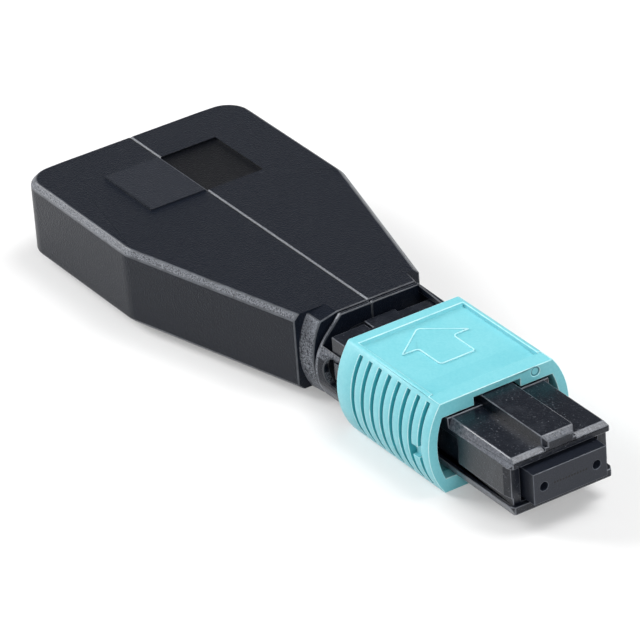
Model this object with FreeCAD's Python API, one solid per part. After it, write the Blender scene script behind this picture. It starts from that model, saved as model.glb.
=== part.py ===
"""Twelve-fibre push-pull multi-fibre loopback plug: a rectangular ferrule in a sprung
plug housing, a sliding grip sleeve, and a two-part shell that holds the six fibre loops.

Frame: origin on the ferrule's mating face at the fibre row, +X out of the plug,
+Y to the plug's left seen from its tip, +Z towards the key. Millimetres.
"""
import FreeCAD, Part
import math
import os

V = FreeCAD.Vector

# ferrule: moulded block with two guide holes and one row of fibres
FERRULE_W = 6.4
FERRULE_H = 2.5
FERRULE_L = 8.0
FLANGE_W = 7.2
FLANGE_H = 3.1
FLANGE_L = 2.0
GUIDE_R = 0.35
GUIDE_PITCH = 4.6
GLUE_WINDOW_L = 2.2
GLUE_WINDOW_W = 3.0
GLUE_WINDOW_X = -3.2
BOOT_SINK = 2.4
FIBRES = 12
FIBRE_PITCH = 0.25
FIBRE_R = 0.12

# rubber boot behind the ferrule, and the plate that the spring bears on
BOOT_W = 3.6
BOOT_H = 1.1
BOOT_L = 7.0
BOOT_SLOT_H = 0.34
KEEPER_W = 6.6
KEEPER_H = 2.9
KEEPER_L = 1.4
KEEPER_LIP = 0.6

# plug housing
PLUG_FRONT = -0.98
PLUG_REAR = -23.75
PLUG_TOP = 2.355
PLUG_REAR_TOP = 2.42
PLUG_STEP = -8.7
PLUG_BOTTOM = -2.415
PLUG_HALF_W = 4.45
PLUG_FLAT_HALF_W = 4.06
PLUG_SHOULDER_Z = 1.6
RAIL_TOP = -1.53
RAIL_GROOVE_TOP = -0.85
RAIL_GROOVE_DEPTH = 0.35
RAIL_BOTTOM_HALF_W = 4.065
LEAD_L = 0.44
LEAD_TOP = 0.27
LEAD_SIDE = 0.25
WALL_FRONT = -1.37
WALL_LEAD_L = 0.6
WALL_LEAD = 0.29
MOUTH_GAP = 0.2
CAVITY_GAP = 0.15
KEY_HALF_W = 1.39
KEY_TOP = 3.13
KEY_REAR = -10.0
KEY_LEAD = 0.36
KEY_SIDE_LEAD = 0.3
TONGUE_HALF_W = 1.5
TONGUE_L = 0.45
TONGUE_SLOT_W = 0.25
TONGUE_SLOT_L = 0.75
CATCH_FRONT = -7.6
CATCH_REAR = -11.2
CATCH_TOP = 1.2
CATCH_BOTTOM = -1.5
CATCH_DEPTH = 0.5

# return springs of the sleeve, one in a channel on each side of the plug housing
CHANNEL_FRONT = -12.0
CHANNEL_REAR = -19.6
CHANNEL_HALF_H = 0.78
CHANNEL_FLOOR = 4.0
LUG_L = 1.0
LUG_HALF_H = 0.6
LUG_GAP = 0.1
LUG_ROOT = 0.2
SIDE_SPRING_R = 0.55
SIDE_SPRING_WIRE_R = 0.1
SIDE_SPRING_TURNS = 7
COIL_RUNS = 12
WIRE_SIDES = 6
SIDE_SPRING_Y = 4.74

# grip sleeve
SLEEVE_FRONT = -8.8
SLEEVE_REAR = -20.68
SLEEVE_H = 3.8
SLEEVE_FLAT_HALF_W = 4.9
SLEEVE_HALF_W = 6.2
SLEEVE_EDGE_R = 0.3
PANEL_Z = 3.5
PANEL_HALF_W = 4.6
PANEL_DIP = 0.07
PANEL_REAR_RIM = 0.95
PANEL_FRONT_RIM = 1.4
FRONT_RIM_Z = 3.72
RIM_SLOPE = 0.12
DIP_L = 1.8
GROOVES = 8
GROOVE_PITCH = 1.23
GROOVE_W = 0.45
GROOVE_DEPTH = 0.6
GROOVE_REACH_Z = 3.42
GROOVE_END_DEPTH = 0.25
FIRST_GROOVE = 1.2
MOUTH_HALF_W = 4.84
MOUTH_Z = 2.54
MOUTH_BULGE = 5.4
KEYWAY_HALF_W = 2.04
KEYWAY_TOP = 3.2
KEYWAY_SPARE = 0.3
SLEEVE_WALL_L = 1.1
BORE_Z = 2.75
BORE_FLAT = 4.8
BORE_BULGE = 5.5
BORE_GAP = 0.12
SKIRT_L = 1.5
SKIRT_Z = 3.32
SKIRT_FLAT = 4.6
ARROW_TIP = -19.05
ARROW_HEAD_L = 2.55
ARROW_HEAD_HALF_W = 3.1
ARROW_SHAFT_HALF_W = 1.58
ARROW_END = -13.65
ARROW_RISE = 0.06
ARROW_R = 0.3
MARK_R = 0.37
MARK_DEPTH = 0.08
MARK_Y = 3.4
MARK_Z = 3.28
NICK_Z = -0.5
NICK_H = 0.9
NICK_DEPTH = 0.45
NICK_SPARE = 0.1

# shell: two halves that meet on the middle plane
SHELL_REAR = -59.27
SHELL_BEND = -43.68
SHELL_TAPER_END = -26.96
SHELL_HALF_W = 10.0
SHELL_TAPER_HALF_W = 5.63
SHELL_HALF_H = 3.2
SHELL_WALL = 1.2
SHELL_CORNER_R = 2.4
SHELL_BEND_R = 3.0
SHELL_EDGE = 0.42
SEAM_EDGE = 0.12
LABEL_REAR = -54.48
LABEL_FRONT = -47.6
LABEL_HALF_W = 5.12
LABEL_DEPTH = 0.15
PAD_RISE = 0.1
LIP_T = 0.4
LIP_D = 0.5
LIP_GAP = 0.04
NECK_HALF_W = 5.6
NECK_FLAT_HALF_W = 4.6
NECK_END = -25.5
GROOVE_L = 0.2
GROOVE_FLOOR_IN = 0.35
RIM_FRONT = -24.93
RIM_HALF_W = 5.08
RIM_BULGE_Z = 0.2
RIM_FLAT = 4.28
RIM_CUT_Y = 2.77
NECK_CUT_Y = 4.25
NECK_CUT_Z = 2.85
ARM_CUT_Y = 4.24
ARM_CUT_Z = 1.65
ARM_SHOULDER = -21.45
ARM_SHOULDER_Z = 2.9
ARM_GAP = 0.08
ARM_LIP_Y = 4.15
HOLE_REAR = -24.2
HOLE_FRONT = -21.3
HOLE_R = 1.05
HOLE_Z = 0.25
MAIN_CAVITY_FRONT = -31.5

# carrier that closes the plug housing behind the main spring
CARRIER_FRONT = -17.4
CARRIER_GAP = 0.08
HOOK_FRONT = -21.6
HOOK_REAR = -23.0
HOOK_HALF_H = 0.7
HOOK_TIP = 4.85
HOOK_ROOT = 0.5
HOOK_RISE = 0.2
HOOK_LAND = 0.4
FLEX_SLOT_W = 0.4
FLEX_SLOT_IN = 0.7
FLEX_SLOT_SPARE = 0.9
BARREL_HALF_W = 3.0
BARREL_HALF_H = 1.7
BARREL_REAR = -30.0
COLLAR_FRONT = -26.6
COLLAR_REAR = -27.8
COLLAR_OUT = 0.6
FIBRE_WAY_HALF_W = 2.2
FIBRE_WAY_HALF_H = 0.9
FIT_GAP = 0.05

# main spring: flattened coil round the boot
MAIN_SPRING_HALF_W = 3.4
MAIN_SPRING_HALF_H = 1.55
MAIN_SPRING_WIRE_R = 0.22
MAIN_SPRING_TURNS = 5

# fibre loops
LOOP_CENTRE_X = -48.2
LOOP_STEP = 0.5
LOOP_SPARE = 0.4
LOOP_BEND_R = 10.0
LOOP_TURN = 12.0


def box(x0, x1, y0, y1, z0, z1):
    return Part.makeBox(x1 - x0, y1 - y0, z1 - z0, V(x0, y0, z0))


def along_x(points, x0, x1):
    """Straight-sided profile in the YZ plane, drawn out from x0 to x1."""
    ring = [V(x0, y, z) for y, z in points]
    face = Part.Face(Part.makePolygon(ring + ring[:1]))
    return face.extrude(V(x1 - x0, 0, 0))


def along_y(points, y0, y1):
    """Profile in the XZ plane, drawn out from y0 to y1."""
    ring = [V(x, y0, z) for x, z in points]
    face = Part.Face(Part.makePolygon(ring + ring[:1]))
    return face.extrude(V(0, y1 - y0, 0))


def along_z(points, z0, z1):
    """Profile in the XY plane, drawn out from z0 to z1."""
    ring = [V(x, y, z0) for x, y in points]
    face = Part.Face(Part.makePolygon(ring + ring[:1]))
    return face.extrude(V(0, 0, z1 - z0))


def barrel_shape(flat, bulge, half_h, x0, x1):
    """Flat top and bottom, sides bowed out to bulge."""
    a, b = V(x0, flat, half_h), V(x0, flat, -half_h)
    c, d = V(x0, -flat, -half_h), V(x0, -flat, half_h)
    edges = [Part.Arc(a, V(x0, bulge, 0), b).toShape(),
             Part.LineSegment(b, c).toShape(),
             Part.Arc(c, V(x0, -bulge, 0), d).toShape(),
             Part.LineSegment(d, a).toShape()]
    return Part.Face(Part.Wire(edges)).extrude(V(x1 - x0, 0, 0))


def stadium(half_w, half_h, x0, x1):
    """Slot section, round at both ends, wide along Y."""
    c = half_w - half_h
    a, b = V(x0, c, half_h), V(x0, c, -half_h)
    d, e = V(x0, -c, -half_h), V(x0, -c, half_h)
    edges = [Part.Arc(a, V(x0, half_w, 0), b).toShape(),
             Part.LineSegment(b, d).toShape(),
             Part.Arc(d, V(x0, -half_w, 0), e).toShape(),
             Part.LineSegment(e, a).toShape()]
    return Part.Face(Part.Wire(edges)).extrude(V(x1 - x0, 0, 0))


def oval(half_w, half_h, x0, x1):
    ellipse = Part.Ellipse(V(x0, half_w, 0), V(x0, 0, half_h), V(x0, 0, 0))
    return Part.Face(Part.Wire(ellipse.toShape())).extrude(V(x1 - x0, 0, 0))


def cylinder_x(x0, x1, y, z, r):
    return Part.makeCylinder(r, x1 - x0, V(x0, y, z), V(1, 0, 0))


def mirror_z(shape):
    return shape.mirror(V(0, 0, 0), V(0, 0, 1))


def half_turn(shape):
    """Turn half way round about the X axis."""
    turned = shape.copy()
    turned.rotate(V(0, 0, 0), V(1, 0, 0), 180)
    return turned


def ferrule():
    body = box(-FERRULE_L, 0, -FERRULE_W / 2, FERRULE_W / 2, -FERRULE_H / 2, FERRULE_H / 2)
    flange = box(-FERRULE_L, FLANGE_L - FERRULE_L,
                 -FLANGE_W / 2, FLANGE_W / 2, -FLANGE_H / 2, FLANGE_H / 2)
    shape = body.fuse(flange)
    for side in (-1, 1):
        shape = shape.cut(cylinder_x(-FERRULE_L - 1, 1, side * GUIDE_PITCH / 2, 0, GUIDE_R))
    window = box(GLUE_WINDOW_X - GLUE_WINDOW_L, GLUE_WINDOW_X,
                 -GLUE_WINDOW_W / 2, GLUE_WINDOW_W / 2, 0, FERRULE_H)
    pocket = box(-FERRULE_L - 1, BOOT_SINK - FERRULE_L,
                 -BOOT_W / 2, BOOT_W / 2, -BOOT_H / 2, BOOT_H / 2)
    return shape.cut(window).cut(pocket).removeSplitter()


def ferrule_boot():
    front = BOOT_SINK - FERRULE_L
    body = box(front - BOOT_L, front, -BOOT_W / 2, BOOT_W / 2, -BOOT_H / 2, BOOT_H / 2)
    ribbon_half_w = FIBRES * FIBRE_PITCH / 2 + FIT_GAP
    slot = box(front - BOOT_L - 1, front + 1, -ribbon_half_w, ribbon_half_w,
               -BOOT_SLOT_H / 2, BOOT_SLOT_H / 2)
    return body.cut(slot)


def keeper_front():
    return -FERRULE_L


def spring_front():
    return keeper_front() - KEEPER_L


def pin_keeper():
    front = keeper_front()
    plate = box(spring_front(), front, -KEEPER_W / 2, KEEPER_W / 2, -KEEPER_H / 2, KEEPER_H / 2)
    flats = math.cos(math.pi / COIL_RUNS)
    inner_w, inner_h = ((half - MAIN_SPRING_WIRE_R) * flats - MAIN_SPRING_WIRE_R - FIT_GAP
                        for half in (MAIN_SPRING_HALF_W, MAIN_SPRING_HALF_H))
    lip = oval(inner_w, inner_h, spring_front() - KEEPER_LIP, spring_front())
    way = box(front - KEEPER_L - 2, front + 1, -BOOT_W / 2 - FIT_GAP, BOOT_W / 2 + FIT_GAP,
              -BOOT_H / 2 - FIT_GAP, BOOT_H / 2 + FIT_GAP)
    return plate.fuse(lip).cut(way).removeSplitter()


def wire_along(points, r):
    """Wire or fibre of WIRE_SIDES flats that follows straight runs, mitred at each joint."""
    runs = [(b - a).normalize() for a, b in zip(points, points[1:])]
    joints = [runs[0]] + [(a + b).normalize() for a, b in zip(runs, runs[1:])] + [runs[-1]]
    across = runs[0].cross(V(0, 0, 1)).normalize()
    above = across.cross(runs[0])
    ring = []
    for side in range(WIRE_SIDES):
        angle = 2 * math.pi * side / WIRE_SIDES
        ring.append(points[0] + across * (r * math.cos(angle)) + above * (r * math.sin(angle)))
    faces = [Part.Face(Part.makePolygon(ring + ring[:1]))]
    for run, joint, point in zip(runs, joints[1:], points[1:]):
        last, ring = ring, [p + run * ((point - p).dot(joint) / run.dot(joint)) for p in ring]
        for side in range(WIRE_SIDES):
            other = (side + 1) % WIRE_SIDES
            faces.append(Part.Face(Part.makePolygon(
                [last[side], last[other], ring[other], ring[side], last[side]])))
    faces.append(Part.Face(Part.makePolygon(ring + ring[:1])))
    return Part.Solid(Part.Shell(faces))


def coil(front, rear, turns, half_w, half_h, wire_r):
    """Coil spring along X from front back to rear, round or drawn out to an oval in Y."""
    a, b = half_w - wire_r, half_h - wire_r
    count = turns * COIL_RUNS
    points = []
    for step in range(count + 1):
        angle = 2 * math.pi * step / COIL_RUNS
        x = front - wire_r + (rear - front + 2 * wire_r) * step / count
        points.append(V(x, a * math.cos(angle), b * math.sin(angle)))
    return wire_along(points, wire_r)


def main_spring():
    """Flattened coil between the keeper and the carrier."""
    return coil(spring_front(), CARRIER_FRONT, MAIN_SPRING_TURNS,
                MAIN_SPRING_HALF_W, MAIN_SPRING_HALF_H, MAIN_SPRING_WIRE_R)


def side_spring(side):
    """Round coil in the channel beside the plug housing."""
    shape = coil(CHANNEL_FRONT - LUG_L, CHANNEL_REAR, SIDE_SPRING_TURNS,
                 SIDE_SPRING_R, SIDE_SPRING_R, SIDE_SPRING_WIRE_R)
    shape.translate(V(0, side * SIDE_SPRING_Y, 0))
    return shape


def plug_section(top, flat_half_w, shoulder_z):
    right = [(flat_half_w, top), (PLUG_HALF_W, shoulder_z),
             (PLUG_HALF_W, RAIL_GROOVE_TOP),
             (PLUG_HALF_W - RAIL_GROOVE_DEPTH, RAIL_GROOVE_TOP - RAIL_GROOVE_DEPTH / 2),
             (PLUG_HALF_W - RAIL_GROOVE_DEPTH, RAIL_TOP),
             (PLUG_HALF_W, RAIL_TOP), (RAIL_BOTTOM_HALF_W, PLUG_BOTTOM)]
    return right + [(-y, z) for y, z in reversed(right)]


def side_lead(side, half_w, start, end, depth, z0, z1):
    """Cutter that slopes one upright edge in from start to end and clears all before it."""
    return along_z([(start, side * half_w), (end, side * (half_w - depth)),
                    (end, 0), (end + 2, 0), (end + 2, side * (half_w + 1)),
                    (start, side * (half_w + 1))], z0, z1)


def plug_body():
    front = along_x(plug_section(PLUG_TOP, PLUG_FLAT_HALF_W, PLUG_SHOULDER_Z),
                    PLUG_STEP, PLUG_FRONT)
    rear = along_x(plug_section(PLUG_REAR_TOP, PLUG_HALF_W, PLUG_SHOULDER_Z),
                   PLUG_REAR, PLUG_STEP)
    body = front.fuse(rear)
    lead_x = PLUG_FRONT - LEAD_L
    key = box(KEY_REAR, PLUG_FRONT, -KEY_HALF_W, KEY_HALF_W, 0, KEY_TOP)
    key = key.cut(along_y([(lead_x, KEY_TOP), (PLUG_FRONT + 1, KEY_TOP),
                           (PLUG_FRONT + 1, KEY_TOP - KEY_LEAD), (PLUG_FRONT, KEY_TOP - KEY_LEAD)],
                          -KEY_HALF_W - 1, KEY_HALF_W + 1))
    for sign, z in ((1, PLUG_TOP), (-1, PLUG_BOTTOM)):
        body = body.cut(along_y([(lead_x, z), (PLUG_FRONT, z - sign * LEAD_TOP),
                                 (PLUG_FRONT + 1, z - sign * LEAD_TOP),
                                 (PLUG_FRONT + 1, z + sign)], -PLUG_HALF_W - 1, PLUG_HALF_W + 1))
    for side in (-1, 1):
        key = key.cut(side_lead(side, KEY_HALF_W, lead_x, PLUG_FRONT, KEY_SIDE_LEAD,
                                PLUG_TOP, KEY_TOP + 1))
        body = body.cut(side_lead(side, PLUG_HALF_W, lead_x, PLUG_FRONT, LEAD_SIDE,
                                  PLUG_BOTTOM - 1, PLUG_TOP + 1))
    body = body.fuse(key)
    for side in (-1, 1):
        body = body.cut(side_lead(side, PLUG_HALF_W, WALL_FRONT - WALL_LEAD_L, WALL_FRONT,
                                  WALL_LEAD, RAIL_TOP, PLUG_SHOULDER_Z))
    return body


def cavity_half_w():
    return FLANGE_W / 2 + CAVITY_GAP


def cavity_half_h():
    return FLANGE_H / 2 + CAVITY_GAP


def plug_housing():
    shape = plug_body()
    mouth_w = FERRULE_W / 2 + MOUTH_GAP
    mouth_h = FERRULE_H / 2 + MOUTH_GAP
    shoulder = FLANGE_L - FERRULE_L
    shape = shape.cut(box(shoulder - 1, 1, -mouth_w, mouth_w, -mouth_h, mouth_h))
    shape = shape.cut(box(PLUG_REAR - 1, shoulder, -cavity_half_w(), cavity_half_w(),
                          -cavity_half_h(), cavity_half_h()))
    tongue = box(PLUG_REAR - TONGUE_L, PLUG_REAR + 1, -TONGUE_HALF_W, TONGUE_HALF_W,
                 cavity_half_h(), PLUG_REAR_TOP)
    shape = shape.fuse(tongue)
    slot = box(PLUG_REAR - 1, PLUG_REAR + TONGUE_SLOT_L,
               -TONGUE_HALF_W, TONGUE_SLOT_W - TONGUE_HALF_W, cavity_half_h() - 1, PLUG_TOP + 1)
    shape = shape.cut(slot)
    for side in (-1, 1):
        inner = side * CHANNEL_FLOOR
        outer = side * (PLUG_HALF_W + 1)
        y0, y1 = sorted((inner, outer))
        shape = shape.cut(box(CHANNEL_REAR, CHANNEL_FRONT, y0, y1,
                              -CHANNEL_HALF_H, CHANNEL_HALF_H))
        catch_floor = side * (PLUG_HALF_W - CATCH_DEPTH)
        catch = along_z([(CATCH_REAR, side * (PLUG_HALF_W + 1)), (CATCH_REAR, catch_floor),
                         (CATCH_FRONT - CATCH_DEPTH, catch_floor),
                         (CATCH_FRONT, side * PLUG_HALF_W),
                         (CATCH_FRONT, side * (PLUG_HALF_W + 1))], CATCH_BOTTOM, CATCH_TOP)
        shape = shape.cut(catch)
        y0, y1 = sorted((0, side * (PLUG_HALF_W + 1)))
        shape = shape.cut(box(HOOK_REAR - FIT_GAP, HOOK_FRONT + FIT_GAP, y0, y1,
                              -HOOK_HALF_H - FIT_GAP, HOOK_HALF_H + FIT_GAP))
    return shape.removeSplitter()


def carrier():
    half_w = cavity_half_w() - CARRIER_GAP
    half_h = cavity_half_h() - CARRIER_GAP
    shape = box(PLUG_REAR, CARRIER_FRONT, -half_w, half_w, -half_h, half_h)
    for side in (-1, 1):
        root = side * (half_w - HOOK_ROOT)
        tip = side * HOOK_TIP
        hook = along_z([(HOOK_REAR, root), (HOOK_REAR, tip), (HOOK_REAR + HOOK_LAND, tip),
                        (HOOK_FRONT, side * (half_w + HOOK_RISE)), (HOOK_FRONT, root)],
                       -HOOK_HALF_H, HOOK_HALF_H)
        shape = shape.fuse(hook)
        outer = side * (half_w - FLEX_SLOT_IN)
        y0, y1 = sorted((outer, outer - side * FLEX_SLOT_W))
        shape = shape.cut(box(PLUG_REAR + FLEX_SLOT_SPARE, CARRIER_FRONT + 1, y0, y1,
                              -half_h - 1, half_h + 1))
    barrel = stadium(BARREL_HALF_W, BARREL_HALF_H, BARREL_REAR, PLUG_REAR)
    collar = stadium(BARREL_HALF_W + COLLAR_OUT, BARREL_HALF_H + COLLAR_OUT,
                     COLLAR_REAR, COLLAR_FRONT)
    shape = shape.fuse(barrel).fuse(collar)
    way = box(BARREL_REAR - 1, CARRIER_FRONT + 1, -FIBRE_WAY_HALF_W, FIBRE_WAY_HALF_W,
              -FIBRE_WAY_HALF_H, FIBRE_WAY_HALF_H)
    return shape.cut(way).removeSplitter()


def groove_tool(x, side):
    """Crescent cut: deep at mid height and shallower at its blunt ends above and below."""
    bulge = SLEEVE_HALF_W - GROOVE_DEPTH
    radius = (SLEEVE_H ** 2 + (SLEEVE_HALF_W - SLEEVE_FLAT_HALF_W) ** 2) \
        / (2 * (SLEEVE_HALF_W - SLEEVE_FLAT_HALF_W))
    centre = SLEEVE_HALF_W - radius
    y_end = centre + math.sqrt(radius ** 2 - GROOVE_REACH_Z ** 2) - GROOVE_END_DEPTH
    out = SLEEVE_HALF_W + 1
    a, b = V(x, side * y_end, GROOVE_REACH_Z), V(x, side * y_end, -GROOVE_REACH_Z)
    c, d = V(x, side * out, -GROOVE_REACH_Z), V(x, side * out, GROOVE_REACH_Z)
    edges = [Part.Arc(a, V(x, side * bulge, 0), b).toShape(),
             Part.LineSegment(b, c).toShape(),
             Part.LineSegment(c, d).toShape(),
             Part.LineSegment(d, a).toShape()]
    return Part.Face(Part.Wire(edges)).extrude(V(GROOVE_W, 0, 0))


def panel_tool():
    """Sunk top panel: low between a rear rim and a lower front rim."""
    rear = SLEEVE_REAR + PANEL_REAR_RIM
    front = SLEEVE_FRONT - PANEL_FRONT_RIM
    top = SLEEVE_H + 1
    return along_y([(rear, top), (rear, SLEEVE_H), (rear + RIM_SLOPE, PANEL_Z),
                    (front - DIP_L, PANEL_Z), (front - RIM_SLOPE, PANEL_Z - PANEL_DIP),
                    (front, FRONT_RIM_Z), (front, top)],
                   -PANEL_HALF_W, PANEL_HALF_W)


def arrow():
    """Raised arrow on the panel that points to the rear."""
    base = ARROW_TIP + ARROW_HEAD_L
    half = [(base, ARROW_HEAD_HALF_W), (base, ARROW_SHAFT_HALF_W), (ARROW_END, ARROW_SHAFT_HALF_W)]
    plate = along_z([(ARROW_TIP, 0)] + half + [(x, -y) for x, y in reversed(half)],
                    PANEL_Z - ARROW_RISE, PANEL_Z + ARROW_RISE)
    return plate.makeFillet(ARROW_R, [e for e in plate.Edges if e.BoundBox.ZLength > ARROW_RISE])


def outer_sleeve():
    shape = barrel_shape(SLEEVE_FLAT_HALF_W, SLEEVE_HALF_W, SLEEVE_H, SLEEVE_REAR, SLEEVE_FRONT)
    corners = [e for e in shape.Edges
               if abs(e.CenterOfMass.x - (SLEEVE_REAR + SLEEVE_FRONT) / 2) < 0.01
               and e.BoundBox.YLength < 0.01 and e.BoundBox.ZLength < 0.01]
    shape = shape.makeFillet(SLEEVE_EDGE_R, corners)
    tool = panel_tool()
    shape = shape.cut(tool).cut(mirror_z(tool))
    front_step = box(SLEEVE_FRONT - PANEL_FRONT_RIM, SLEEVE_FRONT + 1,
                     -SLEEVE_HALF_W, SLEEVE_HALF_W, FRONT_RIM_Z, SLEEVE_H + 1)
    shape = shape.cut(front_step).cut(mirror_z(front_step))
    last = SLEEVE_FRONT - FIRST_GROOVE
    for index in range(GROOVES):
        x = last - index * GROOVE_PITCH - GROOVE_W / 2
        for side in (-1, 1):
            shape = shape.cut(groove_tool(x, side))
    mouth = barrel_shape(MOUTH_HALF_W, MOUTH_BULGE, MOUTH_Z,
                         SLEEVE_FRONT - SLEEVE_WALL_L - BORE_GAP, SLEEVE_FRONT + 1)
    bore = barrel_shape(BORE_FLAT, BORE_BULGE, BORE_Z,
                        SLEEVE_REAR - 1, SLEEVE_FRONT - SLEEVE_WALL_L)
    skirt = barrel_shape(SKIRT_FLAT, BORE_BULGE, SKIRT_Z, SLEEVE_REAR - 1, SLEEVE_REAR + SKIRT_L)
    keyway = box(KEY_REAR - KEYWAY_SPARE, SLEEVE_FRONT + 1, -KEYWAY_HALF_W, KEYWAY_HALF_W, 0, KEYWAY_TOP)
    shape = shape.cut(mouth).cut(bore).cut(skirt).cut(keyway)
    for side in (-1, 1):
        tip = side * (CHANNEL_FLOOR + LUG_GAP)
        root = side * (BORE_BULGE + LUG_ROOT)
        y0, y1 = sorted((tip, root))
        shape = shape.fuse(box(CHANNEL_FRONT - LUG_L, CHANNEL_FRONT, y0, y1,
                               -LUG_HALF_H, LUG_HALF_H))
    rib = last - GROOVE_PITCH + GROOVE_W / 2
    nick = box(rib - NICK_SPARE, rib + GROOVE_PITCH - GROOVE_W + NICK_SPARE,
               -SLEEVE_HALF_W - 1, -SLEEVE_HALF_W + NICK_DEPTH,
               NICK_Z - NICK_H / 2, NICK_Z + NICK_H / 2)
    shape = shape.cut(nick)
    mark = Part.makeCylinder(MARK_R, 1, V(SLEEVE_FRONT - MARK_DEPTH, MARK_Y, MARK_Z), V(1, 0, 0))
    shape = shape.cut(mark)
    return shape.fuse(arrow()).removeSplitter()


def shell_outline(inset, front):
    """Half plan of the shell on the +Y side, from its rear to the given front."""
    slope = (SHELL_HALF_W - SHELL_TAPER_HALF_W) / (SHELL_TAPER_END - SHELL_BEND)
    lean = math.hypot(1, slope)
    rear = SHELL_REAR + inset
    side = SHELL_HALF_W - inset
    bend = SHELL_BEND - inset * (lean - 1) / slope if inset else SHELL_BEND
    y_front = SHELL_TAPER_HALF_W + (SHELL_TAPER_END - front) * slope - inset * lean
    return [(rear, 0), (rear, side), (bend, side), (front, y_front), (front, 0)]


def shell_block(inset, front, z_half, corner_r, bend_r):
    block = along_z(shell_outline(inset, front), -z_half, z_half)
    rear = SHELL_REAR + inset
    side = SHELL_HALF_W - inset
    upright = [e for e in block.Edges if e.BoundBox.ZLength > z_half
               and abs(e.CenterOfMass.y - side) < 0.01]
    corner = [e for e in upright if abs(e.CenterOfMass.x - rear) < 0.01]
    bend = [e for e in upright if abs(e.CenterOfMass.x - rear) >= 0.01]
    block = block.makeFillet(corner_r, corner)
    bend = [e for e in block.Edges if e.BoundBox.ZLength > z_half
            and abs(e.CenterOfMass.x - bend[0].CenterOfMass.x) < 0.01]
    return block.makeFillet(bend_r, bend)


def bowed_profile(x, half_h, flat, bulge, bulge_z, cut_y, cut_z):
    """Half section at x: flat top, bowed side, and a lower corner cut back to the middle."""
    a, b = V(x, 0, half_h), V(x, flat, half_h)
    c, d, e = V(x, cut_y, -cut_z), V(x, RIM_CUT_Y, -half_h), V(x, 0, -half_h)
    edges = [Part.LineSegment(a, b).toShape(),
             Part.Arc(b, V(x, bulge, bulge_z), c).toShape(),
             Part.LineSegment(c, d).toShape(),
             Part.LineSegment(d, e).toShape(),
             Part.LineSegment(e, a).toShape()]
    return Part.Wire(edges)


def rim_profile(x, inset):
    return bowed_profile(x, SHELL_HALF_H - inset, RIM_FLAT - inset, RIM_HALF_W - inset,
                         RIM_BULGE_Z, ARM_CUT_Y - inset, ARM_CUT_Z - inset)


def neck():
    """Neck that narrows from the end of the shell's taper to the groove behind the rim."""
    rear = bowed_profile(SHELL_TAPER_END - SHELL_WALL, SHELL_HALF_H, NECK_FLAT_HALF_W,
                         NECK_HALF_W, 0, NECK_FLAT_HALF_W, SHELL_HALF_H)
    front = bowed_profile(NECK_END, SHELL_HALF_H, RIM_FLAT, RIM_HALF_W, RIM_BULGE_Z,
                          NECK_CUT_Y, NECK_CUT_Z)
    return Part.makeLoft([rear, front], True, True)


def arm():
    """Rim and the snap arm that runs forward from it beside the plug housing."""
    rear = NECK_END + GROOVE_L
    shape = Part.Face(rim_profile(rear, 0)).extrude(V(CHANNEL_REAR - rear, 0, 0))
    inner_y = PLUG_HALF_W + ARM_GAP
    inner_z = PLUG_REAR_TOP + ARM_GAP
    inner = along_x([(0, -SHELL_HALF_H - 1), (inner_y, -SHELL_HALF_H - 1), (inner_y, inner_z),
                     (ARM_LIP_Y, inner_z), (ARM_LIP_Y, SHELL_HALF_H + 1), (0, SHELL_HALF_H + 1)],
                    RIM_FRONT, 0)
    below = box(RIM_FRONT, 0, 0, SHELL_HALF_W, -SHELL_HALF_H - 1, -ARM_CUT_Z)
    slope = along_y([(RIM_FRONT, SHELL_HALF_H), (ARM_SHOULDER, ARM_SHOULDER_Z),
                     (0, ARM_SHOULDER_Z), (0, SHELL_HALF_H + 1), (RIM_FRONT, SHELL_HALF_H + 1)],
                    0, SHELL_HALF_W)
    front_run = box(ARM_SHOULDER, 0, 0, SHELL_HALF_W, -SHELL_HALF_H - 1, SHELL_HALF_H + 1)
    inside_sleeve = barrel_shape(BORE_FLAT - BORE_GAP, BORE_BULGE - BORE_GAP, BORE_Z - BORE_GAP,
                                 ARM_SHOULDER, 0)
    shape = shape.cut(inner).cut(below).cut(slope).cut(front_run.cut(inside_sleeve))
    hole = box(HOLE_REAR + HOLE_R, HOLE_FRONT - HOLE_R, PLUG_HALF_W, SHELL_HALF_W,
               HOLE_Z - HOLE_R, HOLE_Z + HOLE_R)
    for x in (HOLE_REAR + HOLE_R, HOLE_FRONT - HOLE_R):
        hole = hole.fuse(Part.makeCylinder(HOLE_R, SHELL_HALF_W - PLUG_HALF_W,
                                           V(x, PLUG_HALF_W, HOLE_Z), V(0, 1, 0)))
    return shape.cut(hole)


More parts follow.
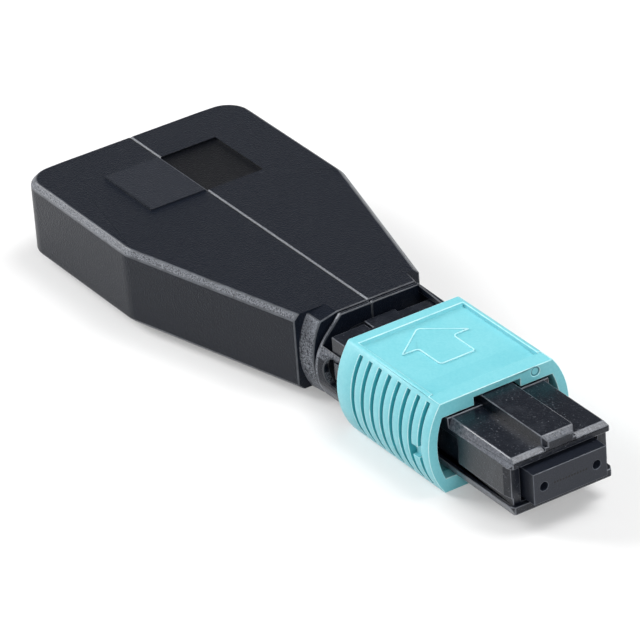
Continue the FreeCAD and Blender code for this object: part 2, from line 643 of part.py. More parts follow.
def shell_half():
    """The +Y half; the other half is the same moulding turned over."""
    block = shell_block(0, SHELL_TAPER_END, SHELL_HALF_H, SHELL_CORNER_R, SHELL_BEND_R)
    rim_edges = [e for e in block.Edges
                 if abs(abs(e.CenterOfMass.z) - SHELL_HALF_H) < 0.001
                 and e.BoundBox.YMin > -0.01 and e.CenterOfMass.x < SHELL_TAPER_END - 0.01
                 and e.CenterOfMass.y > 0.01]
    block = block.makeChamfer(SHELL_EDGE, rim_edges)
    core = Part.Face(rim_profile(NECK_END, GROOVE_FLOOR_IN)).extrude(V(GROOVE_L, 0, 0))
    shape = block.fuse(neck()).fuse(core).fuse(arm())
    cavity = shell_block(SHELL_WALL, MAIN_CAVITY_FRONT, SHELL_HALF_H - SHELL_WALL,
                         SHELL_CORNER_R - SHELL_WALL, SHELL_BEND_R - SHELL_WALL)
    shape = shape.cut(cavity)
    way = stadium(BARREL_HALF_W + FIT_GAP, BARREL_HALF_H + FIT_GAP, MAIN_CAVITY_FRONT - 1,
                  RIM_FRONT + 1)
    seat = stadium(BARREL_HALF_W + COLLAR_OUT + FIT_GAP, BARREL_HALF_H + COLLAR_OUT + FIT_GAP,
                   COLLAR_REAR - FIT_GAP, COLLAR_FRONT + FIT_GAP)
    shape = shape.cut(way).cut(seat)
    shape = shape.cut(box(LABEL_REAR, LABEL_FRONT, -1, LABEL_HALF_W,
                          SHELL_HALF_H - LABEL_DEPTH, SHELL_HALF_H + 1))
    shape = shape.fuse(box(LABEL_REAR, LABEL_FRONT, 0, LABEL_HALF_W,
                           -SHELL_HALF_H - PAD_RISE, -SHELL_HALF_H))
    for sign in (-1, 1):
        z = sign * SHELL_HALF_H
        seam = along_x([(0, z - sign * SEAM_EDGE), (0, z + sign), (1, z + sign),
                        (SEAM_EDGE, z)], SHELL_REAR - 1, 1)
        shape = shape.cut(seam)
    return shape.removeSplitter()


def lip(sign, clearance):
    """Tongue along the seam in the middle of the top or bottom wall."""
    z_mid = sign * (SHELL_HALF_H - LABEL_DEPTH - (SHELL_WALL - LABEL_DEPTH) / 2)
    return box(SHELL_REAR + SHELL_WALL, MAIN_CAVITY_FRONT, -1, LIP_D + clearance,
               z_mid - LIP_T / 2 - clearance, z_mid + LIP_T / 2 + clearance)


def shells():
    far = shell_half()
    near = half_turn(shell_half())
    for sign in (-1, 1):
        tongue = lip(sign, 0)
        near = near.fuse(tongue.common(box(-100, 0, -0.5, 10, -10, 10)))
        far = far.cut(lip(sign, LIP_GAP))
    return near.removeSplitter(), far.removeSplitter()


def arc_points(centre, r, start, end):
    """Points along an arc about centre, from angle start to angle end in degrees."""
    count = math.ceil(abs(end - start) / LOOP_TURN)
    angles = [math.radians(start + (end - start) * step / count) for step in range(count + 1)]
    return [centre + V(r * math.cos(a), r * math.sin(a), 0) for a in angles]


def fibre_loop(index):
    """One fibre from the boot, round a teardrop in the shell and back to the boot."""
    y = FIBRE_PITCH * (index + 0.5)
    outermost = SHELL_HALF_W - SHELL_WALL - LOOP_SPARE
    r = outermost - LOOP_STEP * (FIBRES // 2 - 1 - index)
    reach = LOOP_BEND_R + r
    bend_x = LOOP_CENTRE_X + math.sqrt(reach ** 2 - (LOOP_BEND_R + y) ** 2)
    lean = math.degrees(math.asin((LOOP_BEND_R + y) / reach))
    out = [V(BOOT_SINK - FERRULE_L, y, 0)]
    out += arc_points(V(bend_x, y + LOOP_BEND_R, 0), LOOP_BEND_R, 270, 180 + lean)
    back = [V(p.x, -p.y, 0) for p in reversed(out)]
    round_end = arc_points(V(LOOP_CENTRE_X, 0, 0), r, lean, 360 - lean)
    return wire_along(out + round_end[1:-1] + back, FIBRE_R)


def main():
    os.makedirs("parts", exist_ok=True)
    near, far = shells()
    nodes = {
        "shell_near": near,
        "shell_far": far,
        "outer_sleeve": outer_sleeve(),
        "plug_housing": plug_housing(),
        "ferrule": ferrule(),
        "ferrule_boot": ferrule_boot(),
        "pin_keeper": pin_keeper(),
        "main_spring": main_spring(),
        "spring_carrier": carrier(),
        "sleeve_spring_near": side_spring(-1),
        "sleeve_spring_far": side_spring(1),
    }
    for index in range(FIBRES // 2):
        nodes["fibre_loop_%d" % (index + 1)] = fibre_loop(index)
    for name, shape in nodes.items():
        solids = shape.Solids
        print(name, "valid", shape.isValid(), "solids", len(solids),
              "volume", round(shape.Volume, 3))
        part = solids[0] if len(solids) == 1 else Part.makeCompound(solids)
        part.exportStep("parts/%s.step" % name)


main()
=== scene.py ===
import math
import bmesh
import bpy
from mathutils import Matrix, Vector


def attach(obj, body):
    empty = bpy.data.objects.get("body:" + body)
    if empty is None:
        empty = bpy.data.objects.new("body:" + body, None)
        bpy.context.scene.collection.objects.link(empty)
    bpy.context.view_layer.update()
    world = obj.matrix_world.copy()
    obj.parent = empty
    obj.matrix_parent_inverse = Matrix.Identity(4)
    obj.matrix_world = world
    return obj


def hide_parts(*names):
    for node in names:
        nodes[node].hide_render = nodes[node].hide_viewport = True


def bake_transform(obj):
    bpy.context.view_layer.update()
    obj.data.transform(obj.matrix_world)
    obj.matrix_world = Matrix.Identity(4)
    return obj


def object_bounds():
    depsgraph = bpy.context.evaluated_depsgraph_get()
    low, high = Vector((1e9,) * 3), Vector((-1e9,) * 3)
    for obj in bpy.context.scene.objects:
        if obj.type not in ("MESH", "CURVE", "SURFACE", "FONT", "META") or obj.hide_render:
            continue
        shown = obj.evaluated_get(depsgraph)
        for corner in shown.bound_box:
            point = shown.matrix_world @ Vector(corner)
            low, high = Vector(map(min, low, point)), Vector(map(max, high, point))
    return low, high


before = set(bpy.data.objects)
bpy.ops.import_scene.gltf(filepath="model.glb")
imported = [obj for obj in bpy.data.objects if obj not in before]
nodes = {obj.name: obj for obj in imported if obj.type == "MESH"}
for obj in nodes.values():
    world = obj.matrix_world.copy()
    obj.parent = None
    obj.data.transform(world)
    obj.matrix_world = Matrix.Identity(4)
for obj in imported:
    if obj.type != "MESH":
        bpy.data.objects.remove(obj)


# ---- Shell --------------------------------------------------------------------------
# Two black moulded halves that close round the looped fibres and snap on behind the
# plug. The mould was spark eroded, so every outside face has a fine matt grain, and
# its edges carry a painted highlight where the two halves meet and where the corners are cut.

# Lengths are written in millimetres, and MM turns them into metres.
MM = 0.001
cad_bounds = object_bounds()
FLOAT = "NodeSocketFloat"
COLOR = "NodeSocketColor"
VECTOR = "NodeSocketVector"
GEOMETRY = "NodeSocketGeometry"
BLACK = (0.0, 0.0, 0.0, 1.0)
WHITE = (1.0, 1.0, 1.0, 1.0)


def new_group(name, kind, inputs, outputs):
    """An empty node group with named sockets: {socket: (type, default)} in, [(socket, type)] out."""
    group = bpy.data.node_groups.new(name, kind)
    for label, (socket_type, default) in inputs.items():
        socket = group.interface.new_socket(label, in_out="INPUT", socket_type=socket_type)
        if default is not None:
            socket.default_value = default
    for label, socket_type in outputs:
        group.interface.new_socket(label, in_out="OUTPUT", socket_type=socket_type)
    return group, group.nodes.new("NodeGroupInput"), group.nodes.new("NodeGroupOutput")


def feed(tree, socket, value):
    """Links a socket to another, or gives it a plain value."""
    if isinstance(value, bpy.types.NodeSocket):
        tree.links.new(value, socket)
    else:
        socket.default_value = value


def placed(tree, group, values):
    """A shader group put in a tree, with its inputs fed by name."""
    node = tree.nodes.new("ShaderNodeGroup")
    node.node_tree = group
    for label, value in values.items():
        feed(tree, node.inputs[label], value)
    return node


def blended(tree, operation, *values):
    """A Math node of one or two values, each a socket or a number."""
    node = tree.nodes.new("ShaderNodeMath")
    node.operation = operation
    for socket, value in zip(node.inputs, values):
        feed(tree, socket, value)
    return node.outputs["Value"]


def ramp(tree, value, low, high, start=0.0, end=1.0):
    """Goes from start to end while the value goes from low to high."""
    node = tree.nodes.new("ShaderNodeMapRange")
    tree.links.new(value, node.inputs["Value"])
    for label, limit in (("From Min", low), ("From Max", high), ("To Min", start), ("To Max", end)):
        feed(tree, node.inputs[label], limit)
    return node.outputs["Result"]


def noise(tree, scale, **values):
    """Cloudy noise on the piece's own coordinates."""
    place = tree.nodes.new("ShaderNodeTexCoord")
    cloud = tree.nodes.new("ShaderNodeTexNoise")
    tree.links.new(place.outputs["Object"], cloud.inputs["Vector"])
    feed(tree, cloud.inputs["Scale"], scale)
    for label, value in values.items():
        cloud.inputs[label].default_value = value
    return cloud.outputs["Fac"]


def tinted(tree, amount, a, b):
    """A colour that goes from a to b as the amount goes from 0 to 1."""
    mix = tree.nodes.new("ShaderNodeMix")
    mix.data_type = "RGBA"
    for label, value in (("Factor", amount), ("A", a), ("B", b)):
        feed(tree, mix.inputs[label], value)
    return mix.outputs["Result"]


def grain_group():
    """Pitted grain of a spark-eroded mould: a height, and the colour it gives the plastic."""
    group, source, result = new_group(
        "moulded grain", "ShaderNodeTree",
        {"Dark": (COLOR, BLACK), "Light": (COLOR, WHITE), "Grains per metre": (FLOAT, 7000.0)},
        [("Color", COLOR), ("Height", FLOAT)])
    place = group.nodes.new("ShaderNodeTexCoord")
    pits = group.nodes.new("ShaderNodeTexVoronoi")
    group.links.new(source.outputs["Grains per metre"], pits.inputs["Scale"])
    group.links.new(place.outputs["Object"], pits.inputs["Vector"])
    cloud = noise(group, source.outputs["Grains per metre"], Detail=3.0)
    group.links.new(blended(group, "MULTIPLY", pits.outputs["Distance"], cloud), result.inputs["Height"])
    shade = ramp(group, cloud, low=0.3, high=0.7)
    group.links.new(tinted(group, shade, source.outputs["Dark"], source.outputs["Light"]),
                    result.inputs["Color"])
    return group


# The painted edge highlight is broken into stronger and fainter stretches along each edge.
HIGHLIGHT_BREAKS_PER_METRE = 900.0
FAINTEST_HIGHLIGHT = 0.35


def edge_highlight_group():
    """Stronger and fainter stretches of a painted edge highlight that take turns along an edge."""
    group, source, result = new_group(
        "rubbed edge", "ShaderNodeTree", {"Dull": (COLOR, BLACK), "Highlight": (COLOR, WHITE)},
        [("Color", COLOR)])
    highlight_share = ramp(group, noise(group, HIGHLIGHT_BREAKS_PER_METRE, Detail=4.0), low=0.35, high=0.62, start=FAINTEST_HIGHLIGHT)
    group.links.new(tinted(group, highlight_share, source.outputs["Dull"], source.outputs["Highlight"]),
                    result.inputs["Color"])
    return group


def speck_group():
    """Scattered fine specks of light grain or dust, 1 at their middles."""
    group, source, result = new_group(
        "specks", "ShaderNodeTree",
        {"Specks per metre": (FLOAT, 5000.0), "Low": (FLOAT, 0.4), "High": (FLOAT, 0.7)},
        [("Specks", FLOAT)])
    cloud = noise(group, source.outputs["Specks per metre"], Detail=3.0, Roughness=0.7)
    group.links.new(ramp(group, cloud, source.outputs["Low"], source.outputs["High"]),
                    result.inputs["Specks"])
    return group


def lean_group():
    """How far a face's normal leans along an axis, 0 across it and 1 straight along it."""
    group, source, result = new_group(
        "lean", "ShaderNodeTree", {"Axis": (VECTOR, (0.0, 0.0, 1.0))}, [("Lean", FLOAT)])
    form = group.nodes.new("ShaderNodeNewGeometry")
    share = group.nodes.new("ShaderNodeVectorMath")
    share.operation = "DOT_PRODUCT"
    group.links.new(form.outputs["True Normal"], share.inputs[0])
    group.links.new(source.outputs["Axis"], share.inputs[1])
    group.links.new(blended(group, "ABSOLUTE", share.outputs["Value"]), result.inputs["Lean"])
    return group


GRAIN = grain_group()
# EDGE is the painted edge highlight group.
EDGE = edge_highlight_group()
SPECKS = speck_group()
LEAN = lean_group()


def srgb(r, g, b):
    """Linear colour from the 0-255 values of a colour as seen."""
    def linear(c):
        c /= 255.0
        return c / 12.92 if c <= 0.04045 else ((c + 0.055) / 1.055) ** 2.4
    return (linear(r), linear(g), linear(b), 1.0)


def bare_finish(name, **values):
    """A new material with plain values on its shader."""
    material = bpy.data.materials.new(name)
    material.use_nodes = True
    tree = material.node_tree
    shader = tree.nodes["Principled BSDF"]
    for label, value in values.items():
        shader.inputs[label.replace("_", " ")].default_value = value
    return material, tree, shader


GRAIN_DEPTH = 0.04


def moulded(name, dark, light, roughness, grains, bump, gloss):
    """Moulded plastic: two close shades broken up by the grain that also roughens it."""
    material, tree, shader = bare_finish(name, Roughness=roughness, Specular_IOR_Level=gloss)
    grain = placed(tree, GRAIN, {"Dark": dark, "Light": light, "Grains per metre": grains})
    relief = tree.nodes.new("ShaderNodeBump")
    relief.inputs["Strength"].default_value = bump
    relief.inputs["Distance"].default_value = GRAIN_DEPTH * MM
    tree.links.new(grain.outputs["Color"], shader.inputs["Base Color"])
    tree.links.new(grain.outputs["Height"], relief.inputs["Height"])
    tree.links.new(relief.outputs["Normal"], shader.inputs["Normal"])
    return material


def painted_highlight(name, dull, bright, roughness, gloss):
    """The same plastic painted lighter on a rounded edge, as a highlight."""
    material, tree, shader = bare_finish(name, Roughness=roughness, Specular_IOR_Level=gloss)
    wear = placed(tree, EDGE, {"Dull": dull, "Highlight": bright})
    tree.links.new(wear.outputs["Color"], shader.inputs["Base Color"])
    return material


CRISP = 0.02
SOFT = 0.1
BEYOND = 10.0


def between(tree, value, low, high, soft=CRISP):
    """1 where the value lies between low and high, fading to 0 over soft on each side."""
    return blended(tree, "MULTIPLY", ramp(tree, value, low - soft, low),
                   ramp(tree, value, high + soft, high))


def product(tree, *masks):
    """Several masks at once."""
    total = masks[0]
    for mask in masks[1:]:
        total = blended(tree, "MULTIPLY", total, mask)
    return total


def shaded(material, shade, *masks, share=1.0):
    """Mixes a share of a shade over the material's colour where all the masks meet."""
    tree = material.node_tree
    colour = tree.nodes["Principled BSDF"].inputs["Base Color"]
    amount = product(tree, *masks) if share == 1.0 else product(tree, *masks, share)
    tree.links.new(tinted(tree, amount, colour.links[0].from_socket, shade), colour)


def along(tree, axis):
    """The place along one axis, in millimetres."""
    place = tree.nodes.new("ShaderNodeTexCoord")
    parts = tree.nodes.new("ShaderNodeSeparateXYZ")
    tree.links.new(place.outputs["Object"], parts.inputs["Vector"])
    return blended(tree, "DIVIDE", parts.outputs[axis], MM)


def off_middle(tree, axis):
    """The distance from the middle along one axis, in millimetres."""
    return blended(tree, "ABSOLUTE", along(tree, axis))


def specks(tree, per_metre, low, high):
    """The speck mask: noise from low to high goes from 0 to 1."""
    spread = {"Specks per metre": per_metre, "Low": low, "High": high}
    return placed(tree, SPECKS, spread).outputs["Specks"]


SIDEWAYS = (0.0, 1.0, 0.0)
UPRIGHT = (0.0, 0.0, 1.0)
LEAN_SOFT = 0.06


def facing(tree, axis, low, high):
    """1 on faces whose normal leans along an axis by a share from low to high."""
    return between(tree, placed(tree, LEAN, {"Axis": axis}).outputs["Lean"], low, high, soft=LEAN_SOFT)


def finish_node(name, material):
    """Gives a CAD node its material in every slot."""
    slots = nodes[name].data.materials
    if not slots:
        slots.append(material)
    for index in range(len(slots)):
        slots[index] = material


SHARP_TURN = math.radians(28.0)


def outer_edge_group():
    """Marks the edges to round: outward ones, and less in a zone of fine relief on each side."""
    group, source, result = new_group(
        "outer edges", "GeometryNodeTree",
        {"Geometry": (GEOMETRY, None), "Zone low": (VECTOR, None), "Zone high": (VECTOR, None),
         "Fine": (FLOAT, 0.25)}, [("Geometry", GEOMETRY)])
    turn = group.nodes.new("GeometryNodeInputMeshEdgeAngle")
    place = group.nodes.new("GeometryNodeInputPosition")
    apart = group.nodes.new("ShaderNodeVectorMath")
    apart.operation = "ABSOLUTE"
    group.links.new(place.outputs["Position"], apart.inputs[0])

    def compare(kind, operation, a, b):
        node = group.nodes.new("FunctionNodeCompare")
        node.data_type = kind
        node.operation = operation
        node.mode = "ELEMENT"
        for socket, value in zip([socket for socket in node.inputs if socket.enabled], (a, b)):
            feed(group, socket, value)
        return node.outputs["Result"]

    def weighed(condition, otherwise, chosen):
        node = group.nodes.new("GeometryNodeSwitch")
        node.input_type = "FLOAT"
        for label, value in (("Switch", condition), ("False", otherwise), ("True", chosen)):
            feed(group, node.inputs[label], value)
        return node.outputs["Output"]

    in_zone = group.nodes.new("FunctionNodeBooleanMath")
    in_zone.operation = "AND"
    limits = (("GREATER_THAN", "Zone low"), ("LESS_THAN", "Zone high"))
    for socket, (operation, limit) in zip(in_zone.inputs, limits):
        feed(group, socket, compare("VECTOR", operation, apart.outputs["Vector"], source.outputs[limit]))
    weight = weighed(in_zone.outputs["Boolean"], 1.0, source.outputs["Fine"])
    outward = compare("FLOAT", "GREATER_THAN", turn.outputs["Signed Angle"], SHARP_TURN)
    store = group.nodes.new("GeometryNodeStoreNamedAttribute")
    store.data_type = "FLOAT"
    store.domain = "EDGE"
    store.inputs["Name"].default_value = "bevel_weight_edge"
    group.links.new(source.outputs["Geometry"], store.inputs["Geometry"])
    group.links.new(weighed(outward, 0.0, weight), store.inputs["Value"])
    group.links.new(store.outputs["Geometry"], result.inputs["Geometry"])
    return group


OUTER_EDGES = outer_edge_group()
NO_ZONE = ((0.0, 0.0, 0.0), (0.0, 0.0, 0.0))
JOIN_GAP = 0.001


def eased_edges(name, width, edge_highlight_material, zone=NO_ZONE, fine=0.25, flat=0.6):
    """Joins a CAD node's triangles and rounds its outward edges a little, as moulding leaves them, and
    gives the rounded strips a lighter edge material as a painted highlight.

    The width is in millimetres. Faces within flat degrees become one, unless flat is 0.
    """
    slots = nodes[name].data.materials
    slots.append(edge_highlight_material)
    modifiers = nodes[name].modifiers
    joined = modifiers.new("join", "WELD")
    joined.merge_threshold = JOIN_GAP * MM
    if flat:
        flats = modifiers.new("flats", "DECIMATE")
        flats.decimate_type = "DISSOLVE"
        flats.angle_limit = math.radians(flat)
    marked = modifiers.new("outer edges", "NODES")
    marked.node_group = OUTER_EDGES
    low, high, share = [item.identifier for item in OUTER_EDGES.interface.items_tree
                        if item.in_out == "INPUT" and item.name != "Geometry"]
    marked[low] = [value * MM for value in zone[0]]
    marked[high] = [value * MM for value in zone[1]]
    marked[share] = fine
    rounded = modifiers.new("ease", "BEVEL")
    rounded.width = width * MM
    rounded.segments = 2
    rounded.limit_method = "WEIGHT"
    rounded.use_clamp_overlap = False
    # The rounded strips take the edge material: a painted highlight.
    rounded.material = len(slots) - 1


# Painted highlight, speckled like the grain, on the sloped faces and on the sides of the neck, and loose
# light grains.
SLOPE = (0.35, 0.9)
SIDE = (0.4, 2.0)
NECK_X = (-26.9, -25.0)
shell_plastic = moulded("black shell plastic", dark=srgb(9, 14, 25), light=srgb(22, 28, 39),
                        roughness=0.34, grains=9000.0, bump=1.0, gloss=0.2)
tree = shell_plastic.node_tree
shaded(shell_plastic, srgb(122, 126, 134), facing(tree, UPRIGHT, *SLOPE),
       specks(tree, per_metre=9000.0, low=0.36, high=0.64))
shaded(shell_plastic, srgb(140, 144, 152), facing(tree, SIDEWAYS, *SIDE),
       between(tree, along(tree, "X"), *NECK_X, soft=SOFT),
       specks(tree, per_metre=6500.0, low=0.36, high=0.62))
shaded(shell_plastic, srgb(120, 124, 132), specks(tree, per_metre=5200.0, low=0.70, high=0.80), share=0.6)

# The label squares: a raised one on each half's one face, painted lighter, and a sunk one on the other,
# painted darker.
# Across times up is below zero over the raised squares and above zero over the sunk ones.
LABEL_X = (-54.48, -47.6)
LABEL_Y = 5.12
LABEL_Z = 3.2
LABEL_REACH = LABEL_Y * LABEL_Z
LABEL_CLEAR = 0.4
TOP_Z = 2.95
across_seam = along(tree, "Y")
on_top = between(tree, off_middle(tree, "Z"), TOP_Z, BEYOND)
on_label = product(tree, between(tree, along(tree, "X"), *LABEL_X), on_top)
turned = product(tree, across_seam, along(tree, "Z"))
shaded(shell_plastic, srgb(66, 69, 77), on_label,
       between(tree, turned, -LABEL_REACH, -LABEL_CLEAR), share=0.2)
shaded(shell_plastic, srgb(4, 5, 9), on_label, between(tree, turned, 0.0, LABEL_REACH), share=0.85)

# The seam: a painted highlight on the lip of one half and painted shade in the gap on the other.
SEAM_LIP = (0.0, 0.08)
SEAM_GAP = (-0.16, 0.0)
shaded(shell_plastic, srgb(112, 116, 124), on_top, between(tree, across_seam, *SEAM_LIP), share=0.55)
shaded(shell_plastic, srgb(2, 3, 5), on_top, between(tree, across_seam, *SEAM_GAP))

SHELL_EASE = 0.09
SEAM_ZONE = ((26.9, -1.0, 2.9), (65.0, 5.3, 3.5))
# The rounded edges of both halves are painted lighter as a highlight, in stronger and fainter stretches.
shell_edge_highlight = painted_highlight("rubbed shell edge", dull=srgb(34, 37, 43), bright=srgb(84, 88, 95), roughness=0.38,
                    gloss=0.5)
for half in ("shell_near", "shell_far"):
    finish_node(half, shell_plastic)
    eased_edges(half, SHELL_EASE, shell_edge_highlight, zone=SEAM_ZONE, fine=0.0)


# ---- Grip sleeve --------------------------------------------------------------------
# The aqua push-pull sleeve, moulded in one piece with its ribs, sunk panels and the
# raised arrow. It slides on the plug housing against two small springs.

sleeve_plastic = moulded("aqua sleeve plastic", dark=srgb(118, 202, 213), light=srgb(130, 208, 218),
                         roughness=0.36, grains=5000.0, bump=0.06, gloss=0.5)
tree = sleeve_plastic.node_tree
place_x = along(tree, "X")

# Painted shade makes the front slope a shade deeper, and the whole sleeve is faintly clouded.
FRONT_SLOPE = (-12.35, -10.75)
SLOPE_Z = 3.2
shaded(sleeve_plastic, srgb(96, 188, 202), between(tree, place_x, *FRONT_SLOPE, soft=SOFT),
       between(tree, along(tree, "Z"), SLOPE_Z, BEYOND), share=0.22)
shaded(sleeve_plastic, srgb(150, 220, 228), specks(tree, per_metre=260.0, low=0.45, high=0.75), share=0.25)

# Painted shade, a deeper aqua, down in the grooves of both sides.
GROOVE_PITCH = 1.23
GROOVE_HALF_W = 0.225
FIRST_GROOVE_X = -10.0
GROOVES_X = (-19.0, FIRST_GROOVE_X + 0.4)
GROOVE_TOP_Z = 3.42
GROOVE_SIDE_Y = 3.9
HALF_PITCH = GROOVE_PITCH / 2
groove_step = blended(tree, "FLOORED_MODULO",
                      blended(tree, "SUBTRACT", place_x, FIRST_GROOVE_X - HALF_PITCH), GROOVE_PITCH)
shaded(sleeve_plastic, srgb(30, 164, 176),
       between(tree, groove_step, HALF_PITCH - GROOVE_HALF_W, HALF_PITCH + GROOVE_HALF_W, soft=0.03),
       between(tree, place_x, *GROOVES_X),
       between(tree, off_middle(tree, "Z"), 0.0, GROOVE_TOP_Z, soft=0.05),
       between(tree, off_middle(tree, "Y"), GROOVE_SIDE_Y, BEYOND, soft=SOFT), share=0.7)


def off_point(tree, first, second):
    """The distance from a point, by two places already measured from it."""
    return blended(tree, "SQRT", blended(tree, "ADD", product(tree, first, first),
                                         product(tree, second, second)))


# The round mould mark on the front face.
MARK_Y = 3.4
MARK_Z = 3.28
MARK_RING = (0.28, 0.39)
FRONT_X = -9.0
off_mark = off_point(tree, blended(tree, "SUBTRACT", along(tree, "Y"), MARK_Y),
                     blended(tree, "SUBTRACT", along(tree, "Z"), MARK_Z))
shaded(sleeve_plastic, srgb(20, 110, 126), between(tree, off_mark, *MARK_RING),
       between(tree, place_x, FRONT_X, BEYOND), share=0.85)

SLEEVE_EASE = 0.055
PANEL_ZONE = ((13.2, -1.0, 3.2), (19.6, 3.6, 3.7))
# The sleeve's rounded edges are painted a lighter aqua as a highlight.
sleeve_edge_highlight = painted_highlight("rubbed sleeve edge", dull=srgb(150, 224, 232), bright=srgb(206, 245, 249),
                     roughness=0.35, gloss=0.5)
finish_node("outer_sleeve", sleeve_plastic)
eased_edges("outer_sleeve", SLEEVE_EASE, sleeve_edge_highlight, zone=PANEL_ZONE, fine=0.5, flat=0.0)


def made(name, shape, material):
    """Turns a bmesh into a piece with its material."""
    mesh = bpy.data.meshes.new(name)
    shape.to_mesh(mesh)
    shape.free()
    mesh.materials.append(material)
    piece = bpy.data.objects.new(name, mesh)
    bpy.context.collection.objects.link(piece)
    return piece


# The arrow's fine raised outline, from its tip round to the last corner of its head.
ARROW = [(-19.05, 0.0), (-16.5, 3.1), (-16.5, 1.58), (-13.65, 1.58), (-13.65, -1.58), (-16.5, -1.58),
         (-16.5, -3.1)]
ARROW_R = 0.3
ARROW_Z = 3.53
BEAD_W = 0.10
BEAD_H = 0.07
bead = bmesh.new()
corners = [bead.verts.new((x * MM, y * MM, ARROW_Z * MM)) for x, y in ARROW]
bead.faces.new(corners)
bmesh.ops.bevel(bead, geom=corners, offset=ARROW_R * MM, affect="VERTICES", segments=4, profile=0.5,
                material=-1)
bmesh.ops.inset_region(bead, faces=bead.faces[:], thickness=BEAD_W * MM, use_boundary=True,
                       use_even_offset=True)
middle = max(bead.faces, key=lambda face: face.calc_area())
bmesh.ops.delete(bead, geom=[middle], context="FACES")
lifted = bmesh.ops.extrude_face_region(bead, geom=bead.faces[:])["geom"]
bmesh.ops.translate(bead, vec=(0, 0, BEAD_H * MM),
                    verts=[item for item in lifted if isinstance(item, bmesh.types.BMVert)])
bmesh.ops.recalc_face_normals(bead, faces=bead.faces[:])
# The raised outline is painted a lighter aqua than the sleeve, as a highlight.
arrow_outline_highlight = painted_highlight("arrow outline highlight paint", dull=srgb(150, 224, 232), bright=srgb(196, 241, 246),
                      roughness=0.35, gloss=0.5)
outline = made("arrow_outline", bead, arrow_outline_highlight)
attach(outline, "sleeve")


# ---- Plug housing -------------------------------------------------------------------
# Black moulded body that enters the adapter, with the key on its top and lead-in edges
# at its front. The spring carrier behind it is moulded in the same plastic.

housing_plastic = moulded("black housing plastic", dark=srgb(11, 15, 25), light=srgb(21, 26, 36),
                          roughness=0.28, grains=7000.0, bump=0.4, gloss=0.4)
tree = housing_plastic.node_tree
# Painted highlight, speckled like the grain, on the sloped lead-in faces; then loose light grains and faint
# cloudy mottling.
shaded(housing_plastic, srgb(124, 129, 139), facing(tree, UPRIGHT, *SLOPE),
       specks(tree, per_metre=5200.0, low=0.25, high=0.8))
shaded(housing_plastic, srgb(128, 132, 140), specks(tree, per_metre=6500.0, low=0.62, high=0.72), share=0.8)
shaded(housing_plastic, srgb(60, 64, 72), specks(tree, per_metre=700.0, low=0.5, high=0.75), share=0.35)
# The rounded edges of the housing and carrier are painted lighter as a highlight.
housing_edge_highlight = painted_highlight("rubbed housing edge", dull=srgb(30, 33, 39), bright=srgb(112, 116, 124),
                      roughness=0.3, gloss=0.5)
HOUSING_EASE = 0.065
CARRIER_EASE = 0.05
for name, ease in (("plug_housing", HOUSING_EASE), ("spring_carrier", CARRIER_EASE)):
    finish_node(name, housing_plastic)
    eased_edges(name, ease, housing_edge_highlight)


# ---- Ferrule ------------------------------------------------------------------------
# Glass-filled resin block, ground and polished at its face, with two guide holes and a
# row of twelve fibre ends that stand just proud of the face.

FIBRE_PITCH = 0.25
FIBRE_R = 0.075
ROW_HALF_W = 1.45
FACE_X = (-0.1, 0.1)
FERRULE_EASE = 0.05
ferrule_resin = moulded("ferrule resin", dark=srgb(24, 28, 38), light=srgb(36, 41, 52), roughness=0.35,
                        grains=9000.0, bump=0.2, gloss=0.4)
tree = ferrule_resin.node_tree
row_y = along(tree, "Y")
step = blended(tree, "SUBTRACT", blended(tree, "FLOORED_MODULO", row_y, FIBRE_PITCH), FIBRE_PITCH / 2)
off_fibre = off_point(tree, step, along(tree, "Z"))
shaded(ferrule_resin, srgb(8, 10, 14), between(tree, off_fibre, 0.0, FIBRE_R),
       between(tree, row_y, -ROW_HALF_W, ROW_HALF_W), between(tree, along(tree, "X"), *FACE_X, soft=0.01))
shaded(ferrule_resin, srgb(130, 134, 142), specks(tree, per_metre=5000.0, low=0.68, high=0.78), share=0.7)
# The ferrule's rounded edges are painted lighter as a highlight.
ferrule_edge_highlight = painted_highlight("ferrule edge highlight paint", dull=srgb(50, 54, 62), bright=srgb(84, 90, 100),
                      roughness=0.35, gloss=0.5)
finish_node("ferrule", ferrule_resin)
eased_edges("ferrule", FERRULE_EASE, ferrule_edge_highlight)


# ---- Inside -------------------------------------------------------------------------
# Rubber boot, stamped steel keeper, wound steel springs and coated glass fibres in six
# loops, out of sight in the closed connector.

LOOPS = 6
boot_rubber = moulded("boot rubber", dark=srgb(20, 20, 22), light=srgb(34, 34, 37), roughness=0.75,
                      grains=6000.0, bump=0.3, gloss=0.3)
finish_node("ferrule_boot", boot_rubber)
fibre_coating = moulded("fibre coating", dark=srgb(60, 160, 175), light=srgb(95, 195, 205),
                        roughness=0.35, grains=4000.0, bump=0.05, gloss=0.5)
for loop in range(1, LOOPS + 1):
    finish_node(f"fibre_loop_{loop}", fibre_coating)


def metal(name, dark, light, roughness):
    """Drawn or stamped steel, in two close greys."""
    material, tree, shader = bare_finish(name, Metallic=1.0, Roughness=roughness)
    grain = placed(tree, GRAIN, {"Dark": dark, "Light": light})
    tree.links.new(grain.outputs["Color"], shader.inputs["Base Color"])
    return material


keeper_steel = metal("keeper steel", dark=srgb(140, 141, 144), light=srgb(180, 181, 184), roughness=0.35)
finish_node("pin_keeper", keeper_steel)
spring_steel = metal("spring steel", dark=srgb(150, 150, 152), light=srgb(195, 195, 198), roughness=0.28)


def working_spring(name):
    """A welded copy of a spring node, in spring steel, that takes the hidden node's place."""
    wire = bmesh.new()
    wire.from_mesh(nodes[name].data)
    bmesh.ops.remove_doubles(wire, verts=wire.verts, dist=JOIN_GAP * MM)
    coil = made(name + "_coil", wire, spring_steel)
    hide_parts(name)
    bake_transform(coil)


working_spring("main_spring")
working_spring("sleeve_spring_near")
working_spring("sleeve_spring_far")


# ---- Stage --------------------------------------------------------------------------
# A plain sheet of white paper for a floor, a pale wall round the table, three soft
# boxes, and the camera.


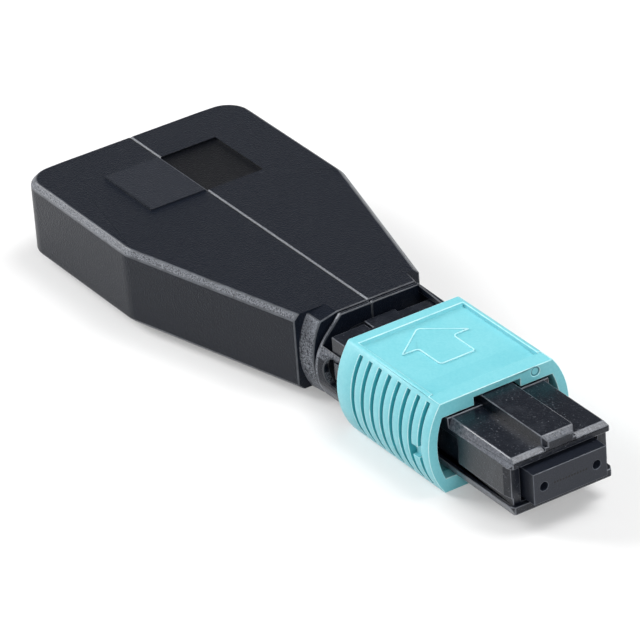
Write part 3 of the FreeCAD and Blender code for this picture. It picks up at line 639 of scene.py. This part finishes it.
def seen_directly(tree):
    """1 for what the camera sees, straight on or in a gloss or a clear piece, else 0."""
    path = tree.nodes.new("ShaderNodeLightPath")
    total = path.outputs["Is Camera Ray"]
    for kind in ("Is Glossy Ray", "Is Transmission Ray"):
        total = blended(tree, "ADD", total, path.outputs[kind])
        total.node.use_clamp = True
    return total


# The wall is white up to about 6 degrees and dims to the ceiling by 20: both are sines.
AMBIENT = 0.16
WALL_TOP = (0.10, 0.34)
world = bpy.data.worlds.new("studio")
world.use_nodes = True
bpy.context.scene.world = world
tree = world.node_tree
sky = tree.nodes["Background"]
sky.inputs["Color"].default_value = WHITE
heading = tree.nodes.new("ShaderNodeTexCoord")
height = tree.nodes.new("ShaderNodeSeparateXYZ")
tree.links.new(heading.outputs["Generated"], height.inputs["Vector"])
wall = ramp(tree, height.outputs["Z"], *WALL_TOP, start=1.0, end=0.0)
white = blended(tree, "MULTIPLY", wall, seen_directly(tree))
tree.links.new(blended(tree, "MAXIMUM", white, AMBIENT), sky.inputs["Strength"])

# Near the object the paper keeps its shadows. Past the lamps' reach it is lifted to white.
FLOOR_HALF_W = 2.0
PAPER_LIFT = 0.30
LIT_REACH = (0.12, 0.40)
floor_z = cad_bounds[0].z
sheet = bmesh.new()
bmesh.ops.create_grid(sheet, x_segments=1, y_segments=1, size=FLOOR_HALF_W)
bmesh.ops.translate(sheet, verts=sheet.verts, vec=(0, 0, floor_z))
paper, tree, shader = bare_finish("white paper", Base_Color=(0.66, 0.66, 0.66, 1.0), Roughness=0.9,
                                  Emission_Color=WHITE)
spot = tree.nodes.new("ShaderNodeTexCoord")
reach = tree.nodes.new("ShaderNodeVectorMath")
reach.operation = "LENGTH"
tree.links.new(spot.outputs["Object"], reach.inputs[0])
fade = ramp(tree, reach.outputs["Value"], *LIT_REACH, start=PAPER_LIFT)
tree.links.new(blended(tree, "MULTIPLY", seen_directly(tree), fade), shader.inputs["Emission Strength"])
made("floor", sheet, paper)

TARGET = Vector((-29.988, -1.511, 0.0)) * MM
AZIMUTH = math.radians(58.687)
ELEVATION = math.radians(29.906)
ROLL = math.radians(-4.438)
DISTANCE = 417.486 * MM
LENS_MM = 313.9
back = Vector((math.sin(AZIMUTH) * math.cos(ELEVATION), -math.cos(AZIMUTH) * math.cos(ELEVATION),
               math.sin(ELEVATION)))
level = Vector((math.cos(AZIMUTH), math.sin(AZIMUTH), 0.0))
up = back.cross(level)
across = level * math.cos(ROLL) + up * math.sin(ROLL)
above = up * math.cos(ROLL) - level * math.sin(ROLL)
camera_data = bpy.data.cameras.new("camera")
camera_data.lens = LENS_MM
camera_data.clip_start = 0.01
camera = bpy.data.objects.new("camera", camera_data)
bpy.context.collection.objects.link(camera)
turn = Matrix((across, above, back)).transposed().to_4x4()
camera.matrix_world = Matrix.Translation(TARGET + back * DISTANCE) @ turn
bpy.context.scene.camera = camera


def soft_box(name, place, size, power):
    """Square area light aimed at the middle of the object."""
    data = bpy.data.lights.new(name, "AREA")
    data.size = size
    data.energy = power
    lamp = bpy.data.objects.new(name, data)
    bpy.context.collection.objects.link(lamp)
    lamp.location = place
    lamp.rotation_mode = "QUATERNION"
    lamp.rotation_quaternion = (Vector(place) - TARGET).to_track_quat("Z", "Y")


soft_box("overhead box", (0.05, 0.14, 0.36), size=0.22, power=1.05)
soft_box("left box", (-0.36, -0.22, 0.22), size=0.22, power=2.0)
soft_box("front box", (0.36, -0.08, 0.18), size=0.30, power=0.8)

scene = bpy.context.scene
scene.view_settings.view_transform = "Standard"
